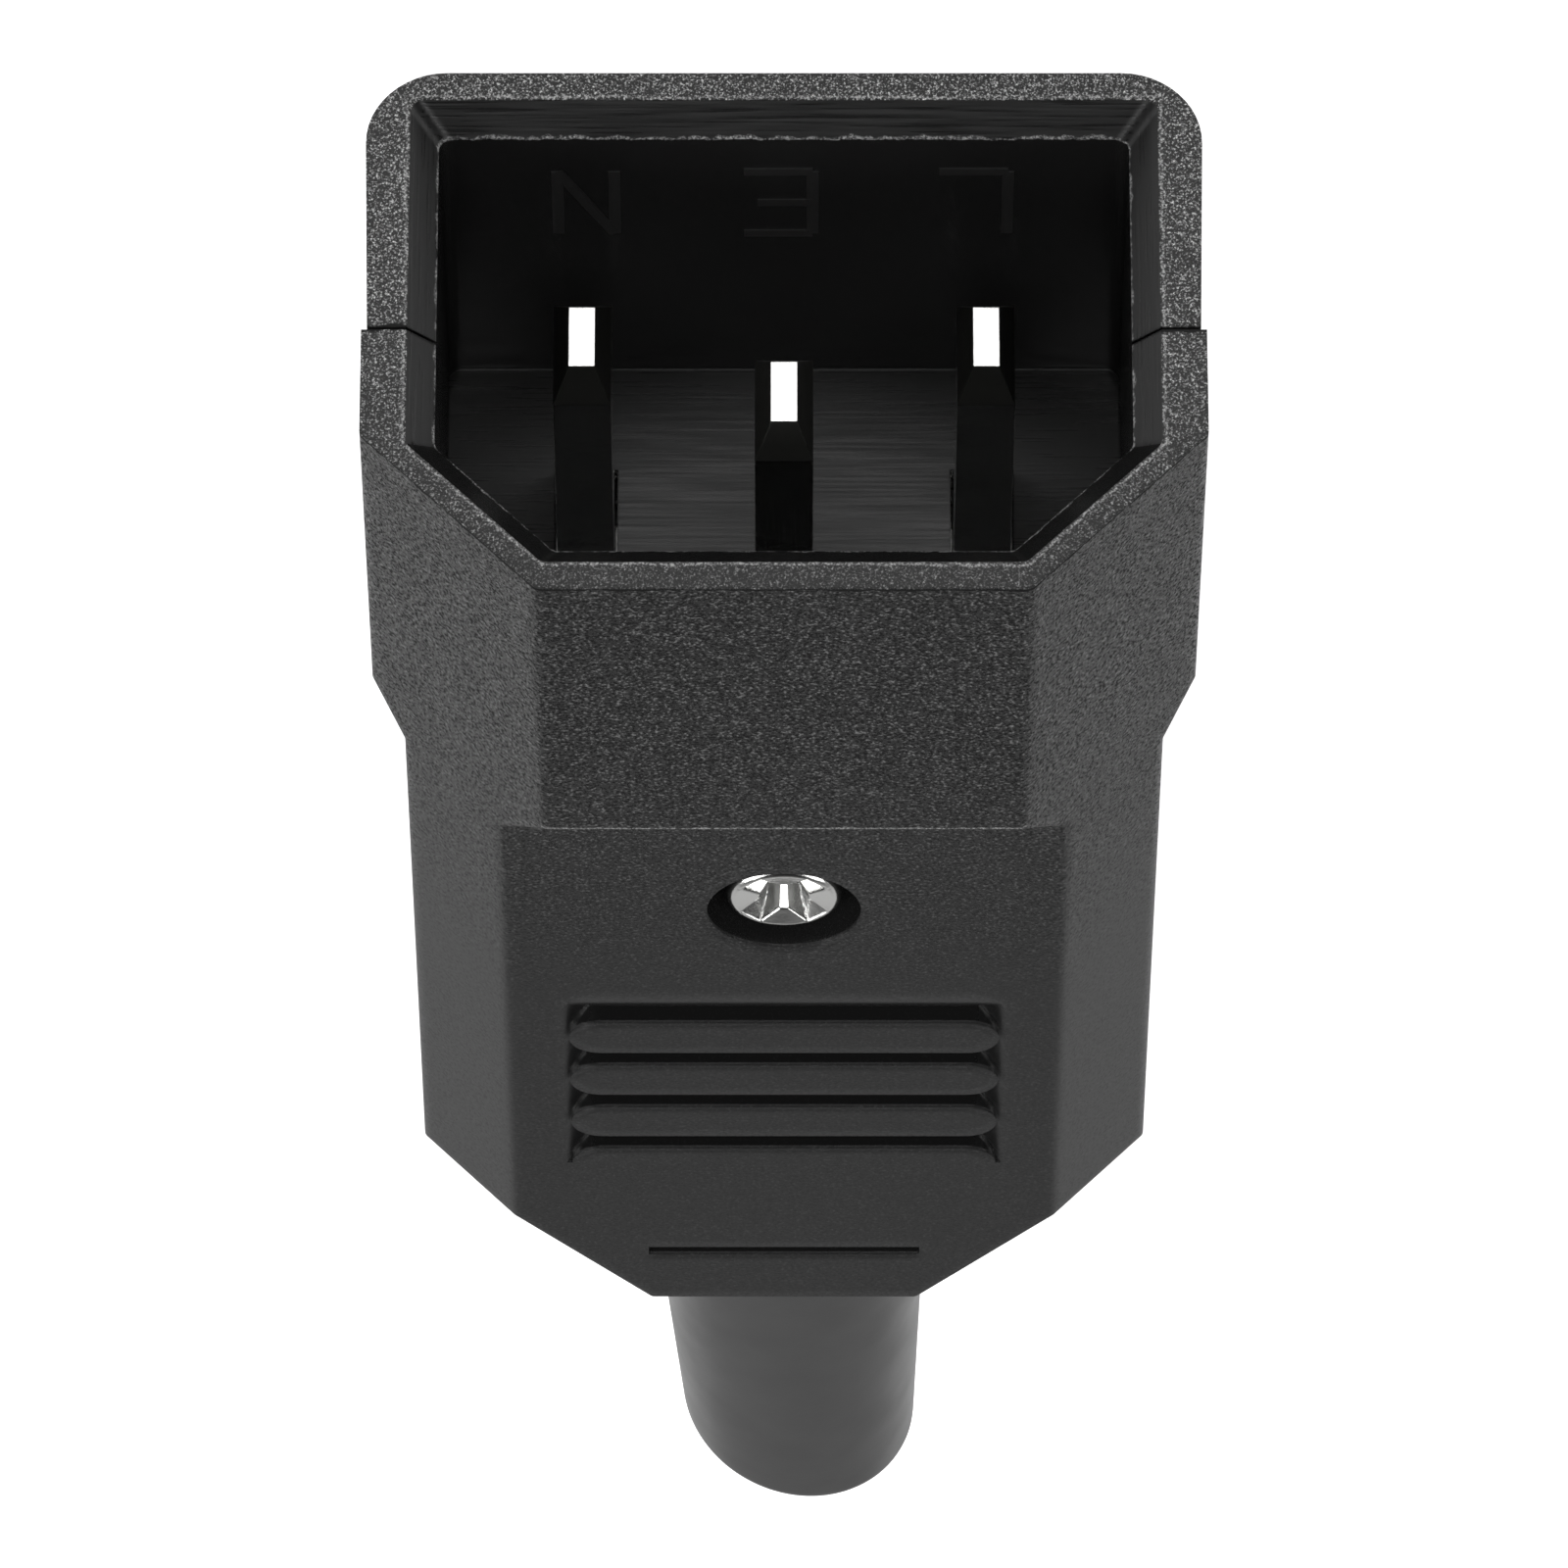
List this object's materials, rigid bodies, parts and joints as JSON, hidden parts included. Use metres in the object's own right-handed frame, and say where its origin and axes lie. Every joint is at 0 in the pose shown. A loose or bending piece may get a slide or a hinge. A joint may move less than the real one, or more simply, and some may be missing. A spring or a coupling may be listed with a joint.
{
  "type": "rewirable inline c14 plug",
  "caption": "Rewirable in-line C14 mains plug: chamfered shrouded mouth with flat pins, screwed half shells with a ribbed grip panel, and a tapered rubber cord boot.",
  "frame": {"origin": "centre of the overall box in X and Y, on the lowest plane of the mouth's back", "axes": "+X across the mouth towards the neutral pin, +Y from the mouth towards the cord boot, +Z from the plain back to the grip panel"},
  "size_m": [0.029, 0.0834, 0.0206],
  "materials": {
    "shell": "black moulded thermoplastic with a fine grain",
    "pin": "nickel-plated brass",
    "screw": "nickel-plated steel",
    "clamp": "black moulded thermoplastic",
    "boot": "satin black rubber"
  },
  "bodies": {
    "root": {"front_shell": "shell", "rear_shell": "shell", "cover_screw": "screw", "live_pin": "pin", "neutral_pin": "pin", "earth_pin": "pin", "terminal_screws": "screw", "clamp_bar": "clamp", "clamp_screws": "screw", "cord_boot": "boot"}
  },
  "joints": []
}
